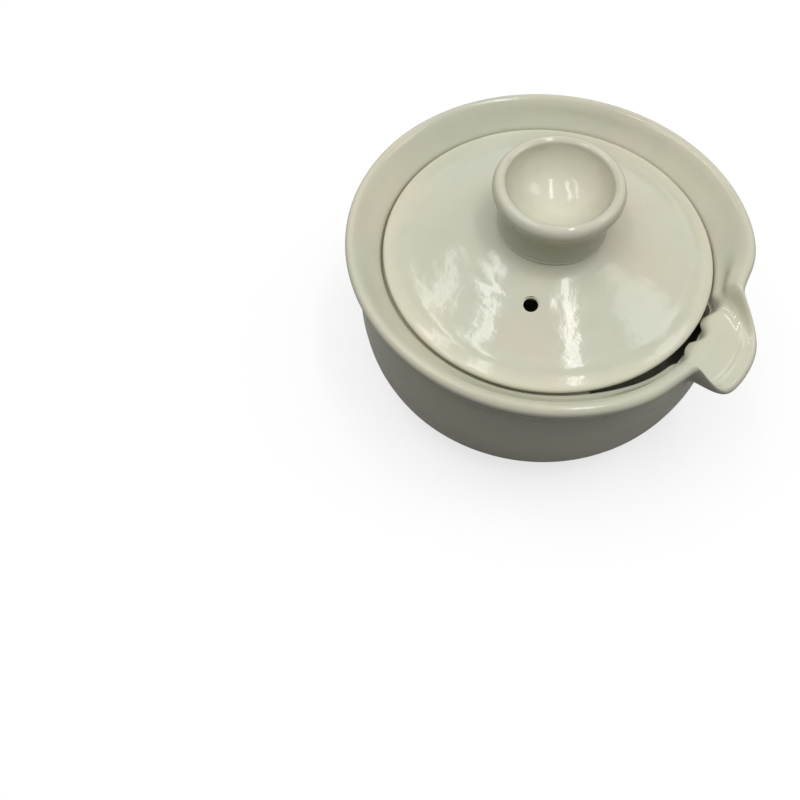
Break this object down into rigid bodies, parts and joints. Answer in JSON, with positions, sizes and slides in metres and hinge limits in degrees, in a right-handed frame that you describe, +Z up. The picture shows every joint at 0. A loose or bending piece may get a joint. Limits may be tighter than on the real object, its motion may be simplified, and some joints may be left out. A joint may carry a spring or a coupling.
{
  "type": "shiboridashi teapot",
  "caption": "Low handleless glazed stoneware teapot with a flared rim, a pinched pouring lip with strainer grooves, and a loose domed lid with a cup-shaped knob.",
  "frame": {"origin": "on the surface the pot stands on, under the middle of the plan, which the pouring lip makes a little longer than the bowl; the bowl's own axis stands slightly behind it on -X", "axes": "+Z up along the bowl's axis, +X the way the pouring lip points"},
  "size_m": [0.1023, 0.0951, 0.0605],
  "materials": {
    "bowl_glaze": "glossy cream-white glaze over stoneware, with a bare ground foot",
    "lid_glaze": "glossy cream-white glaze over stoneware, with a bare ring where it rests",
    "knob_glaze": "glossy cream-white glaze over stoneware"
  },
  "bodies": {
    "bowl": {"bowl": "bowl_glaze"},
    "lid": {"lid": "lid_glaze", "lid_knob": "knob_glaze"}
  },
  "joints": [
    {"name": "lid_lift", "type": "slide", "parent": "bowl", "child": "lid", "axis": [0, 0, 1], "range_m": [0, 0.05]}
  ]
}
